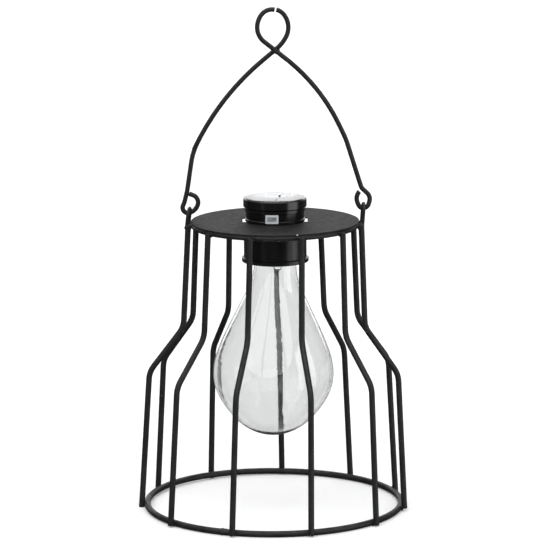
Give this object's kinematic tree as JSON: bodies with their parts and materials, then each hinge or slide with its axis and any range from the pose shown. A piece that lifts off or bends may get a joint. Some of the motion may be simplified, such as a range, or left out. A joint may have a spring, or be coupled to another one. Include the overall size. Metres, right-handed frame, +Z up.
{
  "type": "solar garden light",
  "caption": "Solar lantern: a bent-wire cage around a clear hanging bulb, under a round metal top with a solar cap, with a swinging wire handle to carry or hang it by.",
  "frame": {"origin": "centre of the base ring, on the plane that the light stands on", "axes": "+Z up, the slide switch on the solar cap faces -Y, the handle arms spread along X"},
  "size_m": [0.1717, 0.1703, 0.3212],
  "materials": {
    "cage_steel": "satin black powder coat",
    "disc_paint": "satin black powder coat on sheet steel",
    "handle_steel": "satin black powder coat",
    "cap_plastic": "moulded, glossy black",
    "window_plastic": "clear and glossy",
    "solar_silicon": "dark blue-grey cell, semi-gloss",
    "switch_plastic": "light grey, satin",
    "slider_plastic": "mid grey, ribbed",
    "base_plastic": "black, satin",
    "screw_steel": "zinc plated",
    "board_laminate": "green lacquer",
    "chip_epoxy": "black epoxy",
    "coil_ferrite": "dark ferrite",
    "led_lens": "clear epoxy, milky",
    "leg_steel": "tinned",
    "battery_sleeve": "shrink sleeve, green",
    "contact_steel": "nickel plated",
    "lead_insulation": "red insulation",
    "collar_plastic": "moulded, semi-gloss black",
    "bulb_plastic": "clear and glossy",
    "seal_rubber": "soft black"
  },
  "bodies": {
    "cage": {"base_ring": "cage_steel", "top_ring": "cage_steel", "top_disc": "disc_paint", "cage_wire_01": "cage_steel", "cage_wire_02": "cage_steel", "cage_wire_03": "cage_steel", "cage_wire_04": "cage_steel", "cage_wire_05": "cage_steel", "cage_wire_06": "cage_steel", "cage_wire_07": "cage_steel", "cage_wire_08": "cage_steel", "cage_wire_09": "cage_steel", "cage_wire_10": "cage_steel", "cage_wire_11": "cage_steel", "lug_left": "cage_steel", "lug_right": "cage_steel"},
    "solar_cap": {"cap_housing": "cap_plastic", "cap_rim": "cap_plastic", "solar_window": "window_plastic", "solar_cell": "solar_silicon", "switch_frame": "switch_plastic", "housing_base": "base_plastic", "base_screws": "screw_steel", "circuit_board": "board_laminate", "driver_chip": "chip_epoxy", "boost_coil": "coil_ferrite", "led": "led_lens", "led_legs": "leg_steel", "battery": "battery_sleeve", "battery_plate": "contact_steel", "spring_plate": "contact_steel", "battery_spring": "contact_steel", "cell_leads": "lead_insulation"},
    "switch": {"switch_slider": "slider_plastic"},
    "bulb_unit": {"collar": "collar_plastic", "bulb": "bulb_plastic", "bulb_seal": "seal_rubber"},
    "handle": {"handle_wire_left": "handle_steel", "handle_wire_right": "handle_steel"}
  },
  "joints": [
    {"name": "cap_twist", "type": "hinge", "parent": "cage", "child": "solar_cap", "pos_m": [0.0017, 0, 0.18525], "axis": [0, 0, 1], "range_deg": [0, 60]},
    {"name": "bulb_twist", "type": "hinge", "parent": "solar_cap", "child": "bulb_unit", "pos_m": [0.0017, 0, 0.172], "axis": [0, 0, 1], "range_deg": [-45, 0]},
    {"name": "switch_slide", "type": "slide", "parent": "solar_cap", "child": "switch", "axis": [0.9945, -0.1045, 0], "range_m": [0, 0.0022]},
    {"name": "bail_swing", "type": "hinge", "parent": "cage", "child": "handle", "pos_m": [-0.052, 0.00145, 0.1905], "axis": [0.9993, -0.0264, 0.0255], "range_deg": [-98, 98]}
  ]
}
